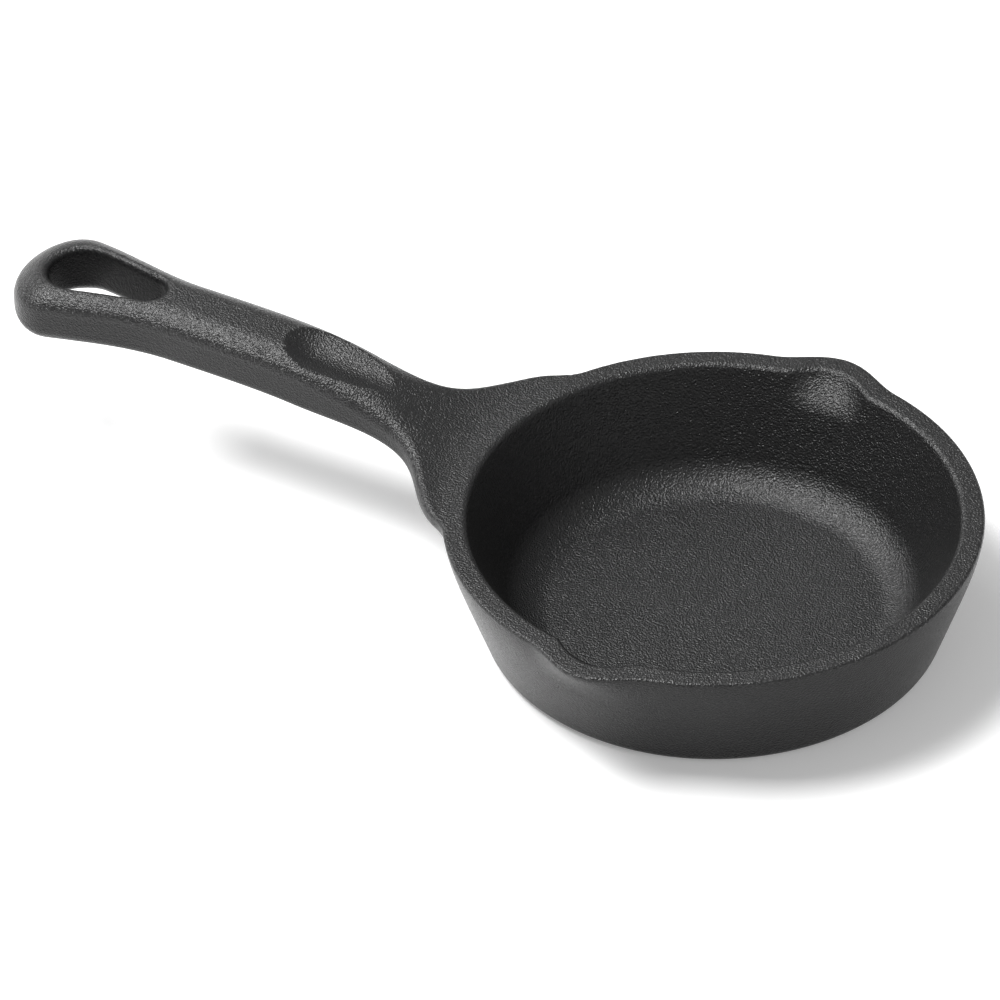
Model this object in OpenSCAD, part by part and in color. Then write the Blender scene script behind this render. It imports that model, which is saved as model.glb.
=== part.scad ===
// Small cast iron skillet with two pour spouts and a hanging handle, in millimetres.
// The pan's axis is Z, its resting face is at z = 0 and the handle runs along -X.
// The real skillet is one casting: each node is a region of it, and neighbours meet face to face.

/* [Pan] */
// Outside diameter over the rim
rim_d = 127; // [100:1:160]
// Height from the resting face to the top of the rim
pan_h = 31; // [26:0.5:40]
// Slope of the outer wall from upright, in degrees
wall_slope = 19.2; // [14:0.2:24]
// Width of the flat rim
rim_w = 5.5; // [4.5:0.1:8]
// Thickness of the floor
floor_t = 4.2; // [3:0.1:6]
// Slope of the cooking wall from upright, in degrees
cavity_slope = 24.4; // [16:0.2:28]
// Radius between the floor and the cooking wall
cavity_fillet = 6.5; // [3:0.5:12]
// Radius at the foot of the outer wall
foot_fillet = 2.5; // [1.5:0.5:6]
// Radius of both edges of the rim
rim_edge = 1; // [0.6:0.1:1.8]

/* [Pour spouts] */
// How far each spout's lip stands out from the rim
spout_out = 4.3; // [2:0.1:7]
// Width of each lip along the outer edge of the rim
lip_w = 33; // [26:0.5:44]
// Width of each channel along the inner edge of the rim
channel_w = 21.5; // [14:0.5:26]
// Depth at which the channel has run out on the cooking wall
channel_deep = 8; // [5:0.5:11]

/* [Handle] */
// Length from the rim to the tip
handle_l = 122; // [95:1:150]
// Width of the grip
grip_w = 19.2; // [15:0.2:24]
// Thickness of the grip
grip_t = 13.1; // [9.1:0.2:15.1]
// Height of the grip's top above the root
handle_rise = 13.6; // [8:0.2:20]
// How far the grip's crowned top falls away at its sides
crown_drop = 3.3; // [0.5:0.1:4]
// How far the fall reaches in over the top
crown_reach = 6.8; // [4:0.2:9]
// Radius along the top edges of the grip
grip_edge = 1.3; // [0.5:0.1:2]
// Radius along the bottom edges of the root and grip
under_edge = 2.8; // [1:0.1:3]

/* [Handle root] */
// Width of the root where it runs into the rim
root_w = 66; // [48:0.2:76]
// Thickness of the root at the rim, in line with the grip
root_t = 7.8; // [6:0.1:10]
// How much thinner the root's two wings are at their edges
wing_thin = 3; // [0:0.1:3]
// Radius along the top edges of the root at the rim
root_edge = 2.6; // [1.5:0.1:3]

/* [Thumb rest] */
// Distance from the rim to the middle of the thumb rest
thumb_at = 36; // [33:0.5:45]
// Length of the thumb rest
thumb_l = 28; // [20:0.5:32]
// Width of the thumb rest
thumb_w = 14.5; // [9:0.5:14.5]
// Depth of the thumb rest
thumb_deep = 3.1; // [0.5:0.1:3.6]
// How far its deepest point is from its middle, towards the tip
thumb_skew = 6; // [0:0.5:9]

/* [Hanging loop] */
// Width of the handle's rounded end
loop_w = 31.6; // [26:0.2:38]
// Thickness of that end
loop_t = 13.6; // [9:0.1:15]
// Length over which that end closes
loop_nose = 13.5; // [9:0.5:16]
// Radius along the loop's bottom edge
loop_under = 4; // [1:0.1:4.5]
// Width of the hanging hole at its wide end
hole_w = 15.6; // [8:0.2:20]
// Width of the hanging hole at its narrow end
hole_neck_w = 8.4; // [4:0.2:9]
// Length of the hanging hole
hole_l = 30; // [22:0.5:34]
// Iron between the hanging hole and the tip
hole_wall = 8.2; // [5:0.1:10]

/* [Hidden] */
$fn = 96;
iron = [0.16, 0.16, 0.17];

// Pan outline. Depths are measured down from the top of the rim.
rim_r = rim_d / 2;
inner_r = rim_r - rim_w;
brow_in = 1.1;
brow_deep = 5.2;
shoulder_in = 2.7;
shoulder_deep = 10.2;
band_deep = 12;
parting_deep = 2;
arc_steps = 4;
shoulder_r = rim_r - shoulder_in;
foot_r = shoulder_r - (pan_h - shoulder_deep) * tan(wall_slope);
cavity_foot_r = inner_r - (pan_h - floor_t) * tan(cavity_slope);
floor_r = cavity_foot_r - cavity_fillet * tan(45 - cavity_slope / 2);
rest_r = foot_r - foot_fillet * tan(45 - wall_slope / 2);
inner_edge_in = rim_edge * tan(45 - cavity_slope / 2);

// Pour spouts
spout_half = lip_w / rim_r * 90 / PI;
channel_half = channel_w / inner_r * 90 / PI;
spout_steps = 20;
channel_shape = 1.25;
channel_rows = 7;

// Handle. Distances run outwards from the rim's outer edge.
grip_half = grip_w / 2;
root_half = root_w / 2;
flare_mid = 4.4;
flare_run = 4.4;
root_bite = 1.5;
root_from = sqrt(pow(shoulder_r - root_bite, 2) - pow(root_half, 2)) - rim_r;
root_to = flare_mid + 5 * flare_run;
root_sink = 0.05;
rise_run = 26.5;
rise_power = 1.7;
thumb_shape = 1.05;
thicken_from = 6;
thicken_to = 44;
crown_from = 4;
crown_to = 30;
loop_from = handle_l - 44.5;
widen_from = handle_l - 44;
widen_to = handle_l - 3;
droop_from = handle_l - 34;
tip_droop = 2.7;
tip_thin = 3.5;
nose_from = handle_l - loop_nose;
wide_at = handle_l - hole_wall - hole_w / 2;
narrow_at = handle_l - hole_wall - hole_l + hole_neck_w / 2;

// ---- Helpers ----

// 0 before a, 1 after b, and smooth between
function ease(v, a, b) = let (t = min(1, max(0, (v - a) / (b - a)))) t * t * (3 - 2 * t);

function arc(centre, r, from, to, steps) =
    [for (i = [0:steps]) let (a = from + (to - from) * i / steps) centre + r * [cos(a), sin(a)]];

// A solid through rings of points. Its ends are flat, and are closed by triangles from each
// ring's first point. A nosed solid's last ring has closed up to a line instead.
module ring_solid(rings, nosed = false) {
    m = len(rings[0]);
    n = len(rings);
    sides = [for (i = [0:n - 2], k = [0:m - 1])
        let (a = i * m + k, b = i * m + (k + 1) % m)
        each [[a, b, a + m], [b, b + m, a + m]]];
    first = [for (k = [1:m - 2]) [0, k + 1, k]];
    last = nosed ? [] : [for (k = [1:m - 2]) [0, k, k + 1] + (n - 1) * m * [1, 1, 1]];
    polyhedron([for (ring = rings) each ring], concat(sides, first, last), convexity = 6);
}

// ---- Pan outlines, as [radius, height] ----

function out_r(deep) = lookup(deep, [[0, rim_r], [parting_deep, rim_r],
    [brow_deep, rim_r - brow_in], [shoulder_deep, shoulder_r], [pan_h, foot_r]]);
function in_r(deep) = inner_r - deep * tan(cavity_slope);

// Outside of the casting, from the axis along the resting face and up to the rim
outer_outline = concat(
    [[0, 0]],
    arc([rest_r, foot_fillet], foot_fillet, -90, -wall_slope, arc_steps + 2),
    [for (d = [shoulder_deep, brow_deep, parting_deep]) [out_r(d), pan_h - d]],
    arc([rim_r - rim_edge, pan_h - rim_edge], rim_edge, 0, 90, arc_steps));

// The space inside, from the axis along the floor and up past the rim's inner edge
cavity_outline = concat(
    [[0, floor_t]],
    arc([floor_r, floor_t + cavity_fillet], cavity_fillet, -90, -cavity_slope, 3 * arc_steps),
    arc([inner_r + inner_edge_in, pan_h - rim_edge], rim_edge, 180 - cavity_slope, 90, arc_steps),
    [[inner_r + inner_edge_in, pan_h + 1], [0, pan_h + 1]]);

module pan_section() {
    difference() {
        polygon(concat(outer_outline, [[0, pan_h]]));
        polygon(cavity_outline);
    }
}

// The part of the pan's section between two radii and two heights
module section_part(r0, r1, z0, z1) {
    intersection() {
        pan_section();
        translate([r0, z0]) square([r1 - r0, z1 - z0]);
    }
}

// ---- Pan ----

module pan_floor() {
    color(iron) rotate_extrude() section_part(0, floor_r, 0, pan_h);
}

module pan_wall() {
    color(iron) rotate_extrude() section_part(floor_r, 2 * rim_r, 0, pan_h - band_deep);
}

// The upper band of the wall between two directions, in degrees round from +X
module rim_band(from, to) {
    rotate([0, 0, from]) rotate_extrude(angle = to - from)
        section_part(0, 2 * rim_r, pan_h - band_deep, pan_h);
}

module rim() {
    color(iron) {
        rim_band(-90 + spout_half, 90 - spout_half);
        rim_band(90 + spout_half, 270 - spout_half);
    }
}

// ---- Pour spouts ----

// How far the lip and the channel are pushed outwards, at an angle from the spout's middle
function lip_push(a, deep) =
    spout_out * (1 + cos(180 * a / spout_half)) / 2 * (1 - ease(deep, 0, band_deep));
function channel_push(a, deep) =
    let (u = min(1, abs(a) / channel_half))
    spout_out * pow(1 - u * u, channel_shape) * (1 - ease(deep, 0, channel_deep));

// The band's section at that angle: up the outside, over the rim and down the inside
function spout_section(a) = concat(
    [for (d = [band_deep, shoulder_deep, brow_deep, parting_deep])
        [out_r(d) + lip_push(a, d), pan_h - d]],
    [for (p = arc([rim_r - rim_edge, pan_h - rim_edge], rim_edge, 0, 90, arc_steps))
        [p[0] + lip_push(a, pan_h - p[1]), p[1]]],
    [for (p = arc([inner_r + inner_edge_in, pan_h - rim_edge], rim_edge, 90,
                  180 - cavity_slope, arc_steps))
        [p[0] + channel_push(a, pan_h - p[1]), p[1]]],
    [for (i = [1:channel_rows]) let (d = rim_edge + (band_deep - rim_edge) * i / channel_rows)
        [in_r(d) + channel_push(a, d), pan_h - d]]);

module pour_spout() {
    ring_solid([for (i = [-spout_steps / 2:spout_steps / 2])
        let (a = spout_half * 2 * i / spout_steps)
        [for (p = spout_section(a)) [p[0] * cos(a), p[0] * sin(a), p[1]]]]);
}

module pour_spout_left() {
    color(iron) rotate([0, 0, 90]) pour_spout();
}

module pour_spout_right() {
    color(iron) rotate([0, 0, -90]) pour_spout();
}

// ---- Handle ----

// Half width, top height, thickness, and top and bottom edge radius at a distance u from the rim
function half_w(u) = grip_half
    + (root_half - grip_half) / (1 + exp((u - flare_mid) / flare_run))
    + (loop_w / 2 - grip_half) * ease(u, widen_from, widen_to);
function rise(u) =
    handle_rise * (1 - exp(-pow(max(0, u) / rise_run, rise_power)))
    - tip_droop * pow(max(0, (u - droop_from) / (handle_l - droop_from)), 2);
function thickness(u) = root_t + (grip_t - root_t) * ease(u, thicken_from, thicken_to)
    + (loop_t - grip_t) * ease(u, widen_from, widen_to)
    - tip_thin * pow(max(0, (u - nose_from) / loop_nose), 2);
function top_edge(u) = root_edge + (grip_edge - root_edge) * ease(u, thicken_from, thicken_to);
function low_edge(u) = under_edge + (loop_under - under_edge) * ease(u, widen_from, widen_to);

// Depth of the thumb rest at u and y
function thumb(u, y) =
    let (
        along = u - thumb_at - thumb_skew,
        half = thumb_l / 2 - sign(along) * thumb_skew,
        q = pow(along / half, 2) + pow(y * 2 / thumb_w, 2)
    )
    q < 1 ? thumb_deep * pow(1 - q, thumb_shape) : 0;

// One ring round the handle: edge is the outline's point [u, y], and out its outward direction
function handle_ring(edge, out) =
    let (
        t = thickness(edge[0]) - wing_thin * ease(edge[1], grip_half, root_half),
        reach = min(crown_reach, max(edge[1], 0.3) / max(out[1], 0.05)),
        drop = crown_drop * ease(edge[0], crown_from, crown_to) * reach / crown_reach,
        r = min(top_edge(edge[0]), reach / 2),
        low = min(low_edge(edge[0]), reach, t - drop - r - 0.3),
        top_in = edge - out * reach,
        across = 6,
        side = concat(
            [[(edge - out * low)[0], 0, -thickness(edge[0])]],
            [for (i = [0:arc_steps]) let (a = 90 * i / arc_steps, q = edge - out * low * (1 - sin(a)))
                [q[0], q[1], -t + low * (1 - cos(a))]],
            [for (i = [0:arc_steps]) let (a = 90 * i / arc_steps, d = r * (1 - cos(a)), q = edge - out * d)
                [q[0], q[1], -r * (1 - sin(a)) - drop * pow(1 - d / reach, 2) - thumb(q[0], q[1])]],
            [for (i = [1:4]) let (d = r + (reach - r) * i / 4, q = edge - out * d)
                [q[0], q[1], -drop * pow(1 - d / reach, 2) - thumb(q[0], q[1])]],
            [for (i = [1:across / 2]) let (y = top_in[1] * (1 - i * 2 / across))
                [top_in[0], y, -thumb(top_in[0], y)]]),
        other = [for (i = [len(side) - 2:-1:1]) [side[i][0], -side[i][1], side[i][2]]])
    [for (p = concat(side, other)) let (x = -rim_r - p[0])
        [x, p[1], pan_h - root_sink + rise(norm([x, p[1]]) - rim_r) + p[2]]];

// Outline points along the sides, then round the nose
function side_edge(u) = [u, half_w(u)];
function nose_edge(a) = [nose_from + loop_nose * sin(a), half_w(nose_from + loop_nose * sin(a)) * cos(a)];
function nose_out(a) = let (v = [sin(a) * loop_w / 2, cos(a) * loop_nose]) v / norm(v);

module handle_part(from, to, steps) {
    ring_solid([for (i = [0:steps]) let (u = from + (to - from) * i / steps)
        handle_ring(side_edge(u), [0, 1])]);
}

// The root ends on the outside of the rim
module handle_root() {
    color(iron) difference() {
        handle_part(root_from, root_to, 20);
        rotate_extrude() polygon(concat(outer_outline, [[0, pan_h]]));
    }
}

module handle_grip() {
    color(iron) handle_part(root_to, loop_from, 30);
}

module hanging_loop() {
    rings = concat(
        [for (i = [0:11]) handle_ring(side_edge(loop_from + (nose_from - loop_from) * i / 12), [0, 1])],
        [for (i = [0:10]) let (a = 90 * i / 10) handle_ring(nose_edge(a), nose_out(a))]);
    color(iron) difference() {
        ring_solid(rings, nosed = true);
        hanging_hole();
    }
}

// Two rounds joined by straight sides, right through the loop
module hanging_hole() {
    wide = hole_w / 2;
    narrow = hole_neck_w / 2;
    lean = asin((wide - narrow) / (wide_at - narrow_at));
    out = [-sin(lean), cos(lean)];
    near = [narrow_at, 0] + narrow * out;
    far = [wide_at, 0] + wide * out;
    translate([-rim_r, 0, 0]) mirror([1, 0, 0]) linear_extrude(2 * pan_h) {
        translate([wide_at, 0]) circle(wide);
        translate([narrow_at, 0]) circle(narrow);
        polygon([near, far, [far[0], -far[1]], [near[0], -near[1]]]);
    }
}

pan_floor();
pan_wall();
rim();
pour_spout_left();
pour_spout_right();
handle_root();
handle_grip();
hanging_loop();
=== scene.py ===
"""Looks of a small cast iron skillet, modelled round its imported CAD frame.

The whole casting is one smooth implicit surface, in millimetres. It is meshed once and
divided into the CAD's eight regions, so that neighbouring pieces share their border points
and normals and no seam shows.
"""
import math

import bpy
import numpy as np
from mathutils import Matrix, Vector


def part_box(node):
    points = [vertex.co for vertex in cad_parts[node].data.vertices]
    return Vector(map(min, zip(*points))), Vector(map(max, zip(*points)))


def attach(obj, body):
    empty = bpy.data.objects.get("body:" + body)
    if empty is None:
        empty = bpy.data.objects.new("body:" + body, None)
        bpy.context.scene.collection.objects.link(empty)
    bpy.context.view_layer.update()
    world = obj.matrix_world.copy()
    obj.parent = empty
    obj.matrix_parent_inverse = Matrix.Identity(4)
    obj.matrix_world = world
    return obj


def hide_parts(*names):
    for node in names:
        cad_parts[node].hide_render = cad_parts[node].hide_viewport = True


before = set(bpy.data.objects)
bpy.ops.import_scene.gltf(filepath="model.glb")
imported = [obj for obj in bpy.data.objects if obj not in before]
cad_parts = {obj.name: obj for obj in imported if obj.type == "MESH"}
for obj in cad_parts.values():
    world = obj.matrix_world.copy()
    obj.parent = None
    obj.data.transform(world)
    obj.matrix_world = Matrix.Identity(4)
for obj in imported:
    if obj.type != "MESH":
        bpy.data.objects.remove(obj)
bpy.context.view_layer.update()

MM = 1000.0

# ---- Sizes, from the CAD boxes where they give one, in millimetres ----

RIM_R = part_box("rim")[1].x * MM
PAN_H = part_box("rim")[1].z * MM
BAND_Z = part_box("rim")[0].z * MM
FLOOR_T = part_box("pan_floor")[1].z * MM
FLOOR_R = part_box("pan_floor")[1].x * MM
SPOUT_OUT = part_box("pour_spout_left")[1].y * MM - RIM_R
HANDLE_L = -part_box("hanging_loop")[0].x * MM - RIM_R
ROOT_TO = -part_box("handle_root")[0].x * MM - RIM_R
LOOP_FROM = -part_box("hanging_loop")[1].x * MM - RIM_R

# ---- Sizes the boxes don't give ----

# Pan. The brow is the wall's turn to upright, just below the rim
RIM_W = 5.5
RIM_EDGE = 0.8
RIM_INNER_EDGE = 0.9
WALL_SLOPE = 0.355
BROW = 1.05
BROW_DEEP = 3.9
FOOT_FILLET = 2.5
CAVITY_SLOPE = math.tan(math.radians(24.4))
CAVITY_FILLET = 6.5

# Spouts: each one's lip, and the channel in it
SPOUT_HALF = math.radians(14.9)
CHANNEL_HALF = math.radians(10.6)
CHANNEL_DEEP = 8.0
CHANNEL_SHAPE = 1.25

# Handle from above: half widths, with places measured out from the rim
GRIP_HALF = 9.6
ROOT_HALF = 33.0
FLARE_MID = 4.4
FLARE_RUN = 4.4
WIDEN_FROM = HANDLE_L - 44.0
WIDEN_TO = HANDLE_L - 3.0
LOOP_HALF = 15.8
NOSE = 13.5
ROOT_INSIDE = 12.0

# Handle from the side: how its top climbs, and how thick it is
RISE = 13.5
RISE_RUN = 26.5
RISE_POWER = 1.7
DROOP = 2.7
DROOP_FROM = HANDLE_L - 34.0
ROOT_T = 7.8
GRIP_T = 13.1
LOOP_T = 13.6
TIP_THIN = 3.5
WING_LIFT = 3.0
BODY_FROM = 6.0
BODY_TO = 44.0

# Handle's edges
ROOT_EDGE = 2.6
ROOT_EDGE_FROM = -9.0
ROOT_EDGE_TO = 3.0
GRIP_EDGE = 1.3
CROWN_REACH = 6.8
CROWN_DROP = 3.3
CROWN_FROM = 4.0
CROWN_TO = 30.0
UNDER_EDGE = 2.8
LOOP_UNDER = 4.0
ROOT_FILLET = 2.2

# Thumb rest
THUMB_AT = 36.0
THUMB_L = 28.0
THUMB_W = 14.5
THUMB_DEEP = 3.1
THUMB_SKEW = 6.0
THUMB_SHAPE = 1.05

# Hanging hole: two circles and their tangents
HOLE_WALL = 8.2
HOLE_L = 30.0
HOLE_WIDE = 7.8
HOLE_NARROW = 4.2
HOLE_WIDE_AT = HANDLE_L - HOLE_WALL - HOLE_WIDE
HOLE_NARROW_AT = HANDLE_L - HOLE_WALL - HOLE_L + HOLE_NARROW
HOLE_LIP = 2.0
HOLE_UNDER = 3.4
UNDER_LIP_FROM = 4.0
UNDER_LIP_TO = 9.0

CELL = 0.6  # mesh size
SLAB = 16  # grid layers sampled at a time

# Where the handle can be, as x or as a distance out from the rim
HANDLE_SIDE = -30.0
ROOT_SIDE = -40.0
CLEAR_OF_PAN = 3.0

# Painted shade, as dimmed specular: how much on the cooking wall and on the sides, where the
# hanging hole is 1
WALL_PAINTED_SHADE = 0.2
SIDE_PAINTED_SHADE = 0.6


# ---- The casting as an implicit surface: negative in the iron, positive outside ----

def ease(value, low, high):
    """0 up to low, 1 from high, smooth between."""
    t = np.clip((value - low) / (high - low), 0.0, 1.0)
    return t * t * (3 - 2 * t)


def round_max(a, b, r):
    """Intersection with its edge rounded to radius r."""
    inside = np.minimum(np.maximum(a, b), -r)
    return inside + np.hypot(np.maximum(a + r, 0), np.maximum(b + r, 0))


def round_min(a, b, r):
    """Union with a fillet of radius r."""
    return -round_max(-a, -b, r)


def spout_angle(x, y):
    """Angle from the middle of the nearer spout."""
    return np.arctan2(x, np.maximum(np.abs(y), 1e-6))


def wall_radius(deep):
    """Radius of the pan's outer wall, so far below the rim."""
    return RIM_R + BROW - WALL_SLOPE * deep - BROW * np.exp(-np.maximum(deep, -2) / BROW_DEEP)


def cavity_radius(deep):
    """Radius of the pan's inner wall, so far below the rim."""
    return RIM_R - RIM_W - CAVITY_SLOPE * deep


def half_width(u):
    """Half of the handle's width, at a distance u out from the rim."""
    flare = (ROOT_HALF - GRIP_HALF) / (1 + np.exp(np.clip((u - FLARE_MID) / FLARE_RUN, -40, 40)))
    return GRIP_HALF + flare + (LOOP_HALF - GRIP_HALF) * ease(u, WIDEN_FROM, WIDEN_TO)


def rise(u):
    """Height of the handle's top above the rim."""
    climb = 1 - np.exp(-(np.maximum(0, u) / RISE_RUN) ** RISE_POWER)
    droop = (np.maximum(0, u - DROOP_FROM) / (HANDLE_L - DROOP_FROM)) ** 2
    return RISE * climb - DROOP * droop


def thumb(u, y):
    """Depth of the thumb rest, whose deepest place lies towards the loop."""
    along = u - THUMB_AT - THUMB_SKEW
    half = THUMB_L / 2 - THUMB_SKEW * np.sign(along)
    q = (along / half) ** 2 + (y * 2 / THUMB_W) ** 2
    return THUMB_DEEP * np.maximum(0, 1 - q) ** THUMB_SHAPE


def slope_scale(f, u, step=0.1):
    """Turns a difference from f(u) into a distance from its curve."""
    slope = (f(u + step) - f(u - step)) / (2 * step)
    return 1 / np.sqrt(1 + slope * slope)


def teardrop(u, y):
    """Distance outside the hanging hole's outline."""
    span = HOLE_WIDE_AT - HOLE_NARROW_AT
    lean = (HOLE_WIDE - HOLE_NARROW) / span
    out = math.sqrt(1 - lean * lean)
    px = np.abs(y)
    py = HOLE_WIDE_AT - u
    along = out * py - lean * px
    side = out * px + lean * py
    wide = np.hypot(px, py) - HOLE_WIDE
    narrow = np.hypot(px, py - span) - HOLE_NARROW
    return np.where(along < 0, wide, np.where(along > out * span, narrow, side - HOLE_WIDE))


def casting(p):
    """Less than 0 in the iron, 0 on its surface, and near it a distance."""
    x, y, z = p[..., 0], p[..., 1], p[..., 2]
    r = np.hypot(x, y)
    deep = PAN_H - z
    u = -x - RIM_R
    angle = spout_angle(x, y)

    near = np.abs(angle) < SPOUT_HALF
    lip = np.where(near, (1 + np.cos(math.pi * angle / SPOUT_HALF)) / 2, 0)
    lip = SPOUT_OUT * lip * (1 - ease(deep, 0, PAN_H - BAND_Z))
    reach = np.minimum(1, np.abs(angle) / CHANNEL_HALF)
    channel = SPOUT_OUT * (1 - reach * reach) ** CHANNEL_SHAPE * (1 - ease(deep, 0, CHANNEL_DEEP))

    wall = (r - wall_radius(deep) - lip) / math.hypot(1, WALL_SLOPE)
    pan = round_max(wall, -z, FOOT_FILLET)

    half = half_width(u)
    nose = np.maximum(0, u - (HANDLE_L - NOSE))
    k0 = np.hypot(nose / NOSE, y / half)
    k1 = np.hypot(nose / NOSE ** 2, y / half ** 2)
    side = k0 * (k0 - 1) / np.maximum(k1, 1e-9) * slope_scale(half_width, u)
    beyond = np.where(x < HANDLE_SIDE, r - RIM_R, 0)
    level = rise(beyond)
    tilt = slope_scale(rise, beyond)
    body = ease(u, BODY_FROM, BODY_TO)
    wing = WING_LIFT * ease(np.abs(y), GRIP_HALF, ROOT_HALF)
    widen = ease(u, WIDEN_FROM, WIDEN_TO)
    thick = ROOT_T + (GRIP_T - ROOT_T) * body + (LOOP_T - GRIP_T) * widen
    thick = thick - wing - TIP_THIN * np.minimum(1, nose / NOSE) ** 2
    under = (PAN_H + level - thick - z) * tilt
    handle = round_max(side, under, UNDER_EDGE + (LOOP_UNDER - UNDER_EDGE) * widen)
    handle = np.maximum(handle, -u - ROOT_INSIDE)
    iron = round_min(pan, handle, ROOT_FILLET)

    edge = RIM_EDGE + (ROOT_EDGE - RIM_EDGE) * ease(u, ROOT_EDGE_FROM, ROOT_EDGE_TO)
    edge = edge + (GRIP_EDGE - ROOT_EDGE) * body
    near_side = np.clip(1 + side / CROWN_REACH, 0, 1)
    drop = CROWN_DROP * ease(u, CROWN_FROM, CROWN_TO)
    tilt = tilt / np.hypot(1, 2 * drop / CROWN_REACH * near_side)
    top = (z - PAN_H - level + thumb(u, y) + drop * near_side ** 2) * tilt
    iron = round_max(iron, top, edge)

    bowl = (r - cavity_radius(deep) - channel) / math.hypot(1, CAVITY_SLOPE)
    cavity = round_max(bowl, FLOOR_T - z, CAVITY_FILLET)
    iron = round_max(iron, -cavity, RIM_INNER_EDGE)
    below = PAN_H + level - z
    hole_edge = HOLE_LIP + (HOLE_UNDER - HOLE_LIP) * ease(below, UNDER_LIP_FROM, UNDER_LIP_TO)
    return round_max(iron, -teardrop(u, y), hole_edge)


def painted_shade(p, normal):
    """Painted shade, as dimmed specular: 1 in the hanging hole, less on the cooking wall and on
    the sides.
    """
    x, y, z = p[..., 0], p[..., 1], p[..., 2]
    deep = PAN_H - z
    in_hole = (1 - ease(teardrop(-x - RIM_R, y), 0.1, 0.9)) * (x < -RIM_R)
    off_wall = np.abs(np.hypot(x, y) - cavity_radius(deep))
    on_wall = (1 - ease(off_wall, 0.3, 1.2)) * ease(deep, 0.8, 2.0)
    sideways = 1 - ease(normal[..., 2], -0.1, 0.2)
    return np.maximum(in_hole, np.maximum(WALL_PAINTED_SHADE * on_wall, SIDE_PAINTED_SHADE * sideways))


# ---- Regions, one for each CAD node ----

REGIONS = ["pan_floor", "pan_wall", "rim", "pour_spout_left", "pour_spout_right",
           "handle_root", "handle_grip", "hanging_loop"]
FLOOR, WALL, RIM, SPOUT_L, SPOUT_R, ROOT, GRIP, LOOP = range(1, 9)


def outside_pan(p):
    """Distance out from the pan's own outer wall."""
    return np.hypot(p[..., 0], p[..., 1]) - wall_radius(PAN_H - p[..., 2])


def region(p):
    """The region that each point in the iron belongs to."""
    x, y, z = p[..., 0], p[..., 1], p[..., 2]
    u = -x - RIM_R
    labels = np.where(np.hypot(x, y) < FLOOR_R, FLOOR, np.where(z < BAND_Z, WALL, RIM))
    spout = (np.abs(spout_angle(x, y)) < SPOUT_HALF) & (z >= BAND_Z)
    labels = np.where(spout, np.where(y > 0, SPOUT_L, SPOUT_R), labels)
    handle = (x < ROOT_SIDE) & (outside_pan(p) > 0) & (z > BAND_Z)
    labels = np.where(handle | (u > CLEAR_OF_PAN), ROOT, labels)
    labels = np.where(u > ROOT_TO, GRIP, labels)
    return np.where(u > LOOP_FROM, LOOP, labels)


# Borders between regions: the two sets of regions, and a function that is 0 between them
BORDERS = [
    ((FLOOR,), (WALL,), lambda p: np.hypot(p[..., 0], p[..., 1]) - FLOOR_R),
    ((WALL,), (RIM, SPOUT_L, SPOUT_R), lambda p: p[..., 2] - BAND_Z),
    ((SPOUT_L, SPOUT_R), (RIM,),
     lambda p: (np.abs(spout_angle(p[..., 0], p[..., 1])) - SPOUT_HALF) * RIM_R),
    ((RIM, WALL), (ROOT,), outside_pan),
    ((ROOT,), (GRIP,), lambda p: -p[..., 0] - RIM_R - ROOT_TO),
    ((GRIP,), (LOOP,), lambda p: -p[..., 0] - RIM_R - LOOP_FROM),
]


# ---- Meshing ----

def gradient(f, p, step=0.02):
    """Gradient of f at each point."""
    g = np.empty_like(p)
    for axis in range(3):
        d = np.zeros(3)
        d[axis] = step
        g[:, axis] = (f(p + d) - f(p - d)) / (2 * step)
    return g


def project(f, p, limit, times):
    """Moves points onto f = 0, each by at most limit a time."""
    for _ in range(times):
        g = gradient(f, p)
        move = -f(p)[:, None] * g / np.maximum((g * g).sum(1), 1e-6)[:, None]
        far = np.linalg.norm(move, axis=1, keepdims=True)
        p = p + move * np.minimum(1, limit / np.maximum(far, 1e-12))
    return p


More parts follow.
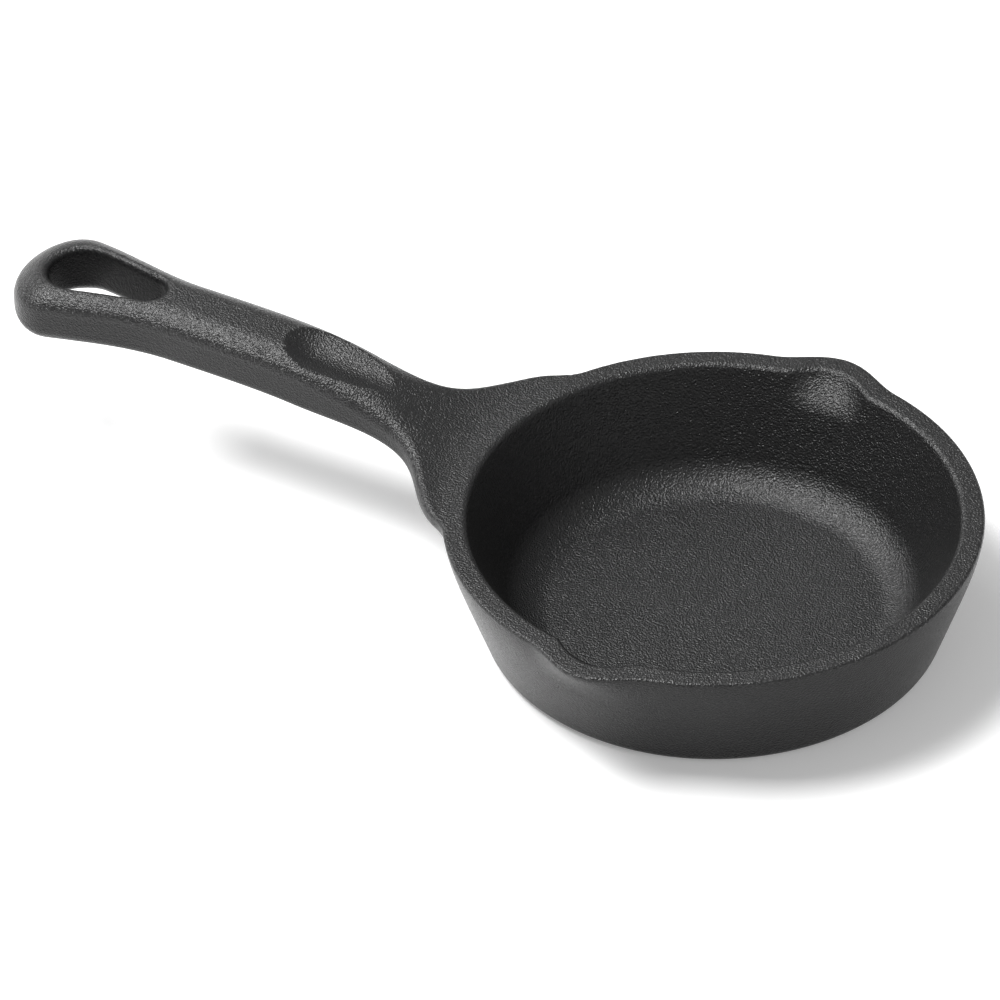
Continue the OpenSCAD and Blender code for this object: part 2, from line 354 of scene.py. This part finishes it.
def mesh_regions():
    """Points, their normals, and each region's quads as indices of points."""
    # The uneven margin keeps grid points off the flat faces and the plane of symmetry
    low = np.array([-RIM_R - HANDLE_L, -RIM_R - SPOUT_OUT, 0.0]) - 2.37 * CELL
    high = np.array([RIM_R, RIM_R + SPOUT_OUT, PAN_H + RISE + 1]) + 2.5 * CELL
    count = np.ceil((high - low) / CELL).astype(int) + 1
    ax = [low[i] + CELL * np.arange(count[i]) for i in range(3)]
    field = np.empty(count, np.float32)
    label = np.empty(count, np.int8)
    for i in range(0, count[0], SLAB):
        slab = slice(i, i + SLAB)
        grid = np.stack(np.meshgrid(ax[0][slab], ax[1], ax[2], indexing="ij"), -1)
        field[slab] = casting(grid)
        label[slab] = np.where(field[slab] < 0, region(grid), 0)

    # A quad wherever two neighbouring grid points lie in different regions
    strides = np.array([count[1] * count[2], count[2], 1])
    quads = []
    for axis in range(3):
        first = [slice(None)] * 3
        second = [slice(None)] * 3
        first[axis] = slice(0, -1)
        second[axis] = slice(1, None)
        a, b = label[tuple(first)], label[tuple(second)]
        at = np.argwhere(a != b)
        la, lb = a[tuple(at.T)], b[tuple(at.T)]
        cell = at @ strides
        s, t = strides[(axis + 1) % 3], strides[(axis + 2) % 3]
        quads.append((np.stack([cell - s - t, cell - t, cell, cell - s], 1), la, lb))
    ring, la, lb = (np.concatenate(part) for part in zip(*quads))

    # A point in each cell that a quad uses, at the mean of the surface's crossings
    cells, inverse = np.unique(ring, return_inverse=True)
    ring = inverse.reshape(ring.shape)
    corner = np.stack(np.unravel_index(cells, count), 1)
    values = np.empty((len(cells), 8))
    labels = np.empty((len(cells), 8), np.int8)
    offsets = np.array([[i, j, k] for i in (0, 1) for j in (0, 1) for k in (0, 1)])
    for n, offset in enumerate(offsets):
        at = tuple((corner + offset).T)
        values[:, n] = field[at]
        labels[:, n] = label[at]
    total = np.zeros((len(cells), 3))
    crossings = np.zeros(len(cells))
    for i in range(8):
        for j in range(i + 1, 8):
            if np.abs(offsets[i] - offsets[j]).sum() != 1:
                continue
            v0, v1 = values[:, i], values[:, j]
            cross = (v0 < 0) != (v1 < 0)
            t = np.where(cross, v0 / np.where(cross, v0 - v1, 1), 0)[:, None]
            total += np.where(cross[:, None], offsets[i] + t * (offsets[j] - offsets[i]), 0)
            crossings += cross
    skin = crossings > 0
    local = np.where(skin[:, None], total / np.maximum(crossings, 1)[:, None], 0.5)
    points = low + CELL * (corner + local)

    # Onto the exact surface, and onto the exact borders between regions
    points[skin] = project(casting, points[skin], CELL * 0.5, 4)
    for ones, others, border in BORDERS:
        both = np.isin(labels, ones).any(1) & np.isin(labels, others).any(1)
        for _ in range(3):
            points[both] = project(border, points[both], CELL, 1)
            points[both & skin] = project(casting, points[both & skin], CELL * 0.5, 1)
    points[skin] = project(casting, points[skin], CELL * 0.3, 2)
    normals = gradient(casting, points)
    normals /= np.maximum(np.linalg.norm(normals, axis=1, keepdims=True), 1e-9)

    faces = {}
    for n, name in enumerate(REGIONS, 1):
        faces[name] = np.concatenate([ring[la == n], ring[lb == n][:, ::-1]])
    return points, normals, faces


points, normals, faces = mesh_regions()


def make_piece(name, quads, material):
    """A mesh object from one region's quads, with its normals and its painted shade mask."""
    used, inverse = np.unique(quads, return_inverse=True)
    quads = inverse.reshape(-1, 4)
    mesh = bpy.data.meshes.new(name)
    mesh.vertices.add(len(used))
    mesh.vertices.foreach_set("co", (points[used] / MM).ravel())
    mesh.loops.add(quads.size)
    mesh.loops.foreach_set("vertex_index", quads.ravel().astype(np.int32))
    mesh.polygons.add(len(quads))
    mesh.polygons.foreach_set("loop_start", np.arange(0, quads.size, 4, dtype=np.int32))
    mesh.update(calc_edges=True)
    mesh.polygons.foreach_set("use_smooth", np.ones(len(quads), bool))
    mesh.normals_split_custom_set_from_vertices([tuple(n) for n in normals[used]])
    # Painted shade: this mask dims the specular in the hanging hole, on the cooking wall and on
    # the sides
    shade_mask = mesh.attributes.new("painted_shade", "FLOAT", "POINT")
    shade_mask.data.foreach_set("value", painted_shade(points[used], normals[used]).astype(np.float32))
    mesh.materials.append(material)
    piece = bpy.data.objects.new(name, mesh)
    bpy.context.scene.collection.objects.link(piece)
    return piece


# ---- Materials ----

def node(tree, kind, **inputs):
    """A new shader node, with its inputs by name."""
    made = tree.nodes.new(kind)
    for key, value in inputs.items():
        made.inputs[key.replace("_", " ")].default_value = value
    return made


def iron_material():
    mat = bpy.data.materials.new("seasoned_cast_iron")
    mat.use_nodes = True
    tree = mat.node_tree
    link = tree.links.new
    shader = tree.nodes["Principled BSDF"]
    # Painted shade: the mask lowers the specular level in the hanging hole, on the cooking wall
    # and on the sides
    shade_mask = tree.nodes.new("ShaderNodeAttribute")
    shade_mask.attribute_name = "painted_shade"
    shaded_specular = node(tree, "ShaderNodeMapRange", To_Min=0.5, To_Max=0.05)
    link(shade_mask.outputs["Fac"], shaded_specular.inputs["Value"])
    link(shaded_specular.outputs["Result"], shader.inputs["Specular IOR Level"])
    coords = tree.nodes.new("ShaderNodeTexCoord")

    grain = node(tree, "ShaderNodeTexNoise", Scale=2600.0, Detail=1.5, Roughness=0.5)
    link(coords.outputs["Object"], grain.inputs["Vector"])
    pebble = tree.nodes.new("ShaderNodeTexVoronoi")
    pebble.feature = "SMOOTH_F1"
    pebble.inputs["Scale"].default_value = 1900.0
    pebble.inputs["Smoothness"].default_value = 0.6
    link(coords.outputs["Object"], pebble.inputs["Vector"])
    broad = node(tree, "ShaderNodeTexNoise", Scale=160.0, Detail=3.0, Roughness=0.5)
    link(coords.outputs["Object"], broad.inputs["Vector"])

    tone = tree.nodes.new("ShaderNodeValToRGB")
    tone.color_ramp.elements[0].position = 0.35
    tone.color_ramp.elements[0].color = (0.006, 0.006, 0.0065, 1)
    tone.color_ramp.elements[1].position = 0.75
    tone.color_ramp.elements[1].color = (0.018, 0.0178, 0.0175, 1)
    link(grain.outputs["Fac"], tone.inputs["Fac"])
    link(tone.outputs["Color"], shader.inputs["Base Color"])

    rough = node(tree, "ShaderNodeMapRange", To_Min=0.25, To_Max=0.34)
    link(broad.outputs["Fac"], rough.inputs["Value"])
    link(rough.outputs["Result"], shader.inputs["Roughness"])

    fine = node(tree, "ShaderNodeBump", Strength=1.0, Distance=0.00026)
    link(grain.outputs["Fac"], fine.inputs["Height"])
    coarse = node(tree, "ShaderNodeBump", Strength=0.9, Distance=0.00016)
    link(pebble.outputs["Distance"], coarse.inputs["Height"])
    link(coarse.outputs["Normal"], fine.inputs["Normal"])
    link(fine.outputs["Normal"], shader.inputs["Normal"])
    return mat


def floor_material():
    mat = bpy.data.materials.new("studio_floor")
    mat.use_nodes = True
    shader = mat.node_tree.nodes["Principled BSDF"]
    shader.inputs["Base Color"].default_value = (0.9, 0.9, 0.9, 1)
    shader.inputs["Roughness"].default_value = 0.9
    shader.inputs["Emission Color"].default_value = (1, 1, 1, 1)
    shader.inputs["Emission Strength"].default_value = 0.22
    return mat


iron = iron_material()
for name in REGIONS:
    piece = make_piece("iron_" + name, faces[name], iron)
    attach(piece, "root")
    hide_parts(name)


# ---- Studio ----

def make_floor():
    half = 3.0
    mesh = bpy.data.meshes.new("studio_floor")
    mesh.from_pydata([(-half, -half, 0), (half, -half, 0), (half, half, 0), (-half, half, 0)],
                     [], [(0, 1, 2, 3)])
    mesh.materials.append(floor_material())
    floor = bpy.data.objects.new("studio_floor", mesh)
    bpy.context.scene.collection.objects.link(floor)


VIEW_AZIMUTH = math.radians(29.0)
VIEW_ELEVATION = math.radians(38.03)
LIGHT_DISTANCE = 1.2


def view_direction(azimuth, elevation):
    """From the object towards a viewer there."""
    return Vector((math.sin(azimuth) * math.cos(elevation),
                   -math.cos(azimuth) * math.cos(elevation), math.sin(elevation)))


def make_camera():
    """A long lens. Its picture is centred on a point beside the pan, so the handle fits in."""
    roll = math.radians(0.711)
    distance = 60 * RIM_R
    beside, below = -0.7849, -0.0574  # picture centre from the rim's centre, in rim radii
    back = view_direction(VIEW_AZIMUTH, VIEW_ELEVATION)
    level = Vector((math.cos(VIEW_AZIMUTH), math.sin(VIEW_AZIMUTH), 0))
    up = back.cross(level)
    right = level * math.cos(roll) - up * math.sin(roll)
    up = level * math.sin(roll) + up * math.cos(roll)
    place = Vector((0, 0, PAN_H)) + back * distance + (right * beside - up * below) * RIM_R
    data = bpy.data.cameras.new("camera")
    data.sensor_width = 36.0
    data.lens = 587.54
    data.clip_end = 20.0
    camera = bpy.data.objects.new("camera", data)
    turn = Matrix((right, up, back)).transposed().to_4x4()
    camera.matrix_world = Matrix.Translation(place / MM) @ turn
    bpy.context.scene.collection.objects.link(camera)
    bpy.context.scene.camera = camera


def make_light(name, azimuth, elevation, width, height, power):
    data = bpy.data.lights.new(name, "AREA")
    data.shape = "RECTANGLE"
    data.size = width
    data.size_y = height
    data.energy = power
    light = bpy.data.objects.new(name, data)
    away = view_direction(math.radians(azimuth), math.radians(elevation))
    light.location = away * LIGHT_DISTANCE
    light.rotation_euler = away.to_track_quat("Z", "Y").to_euler()
    bpy.context.scene.collection.objects.link(light)


def make_world(strength):
    world = bpy.data.worlds.new("studio")
    world.use_nodes = True
    background = world.node_tree.nodes["Background"]
    background.inputs["Color"].default_value = (1, 1, 1, 1)
    background.inputs["Strength"].default_value = strength
    bpy.context.scene.world = world


make_floor()
make_camera()
make_light("key", -67, 64, 0.52, 0.52, 17.5)
make_light("side", -106, 46, 0.8, 0.8, 5)
make_light("right", 74, 22, 0.8, 0.6, 1.6)
make_world(0.34)
bpy.context.scene.view_settings.view_transform = "Standard"
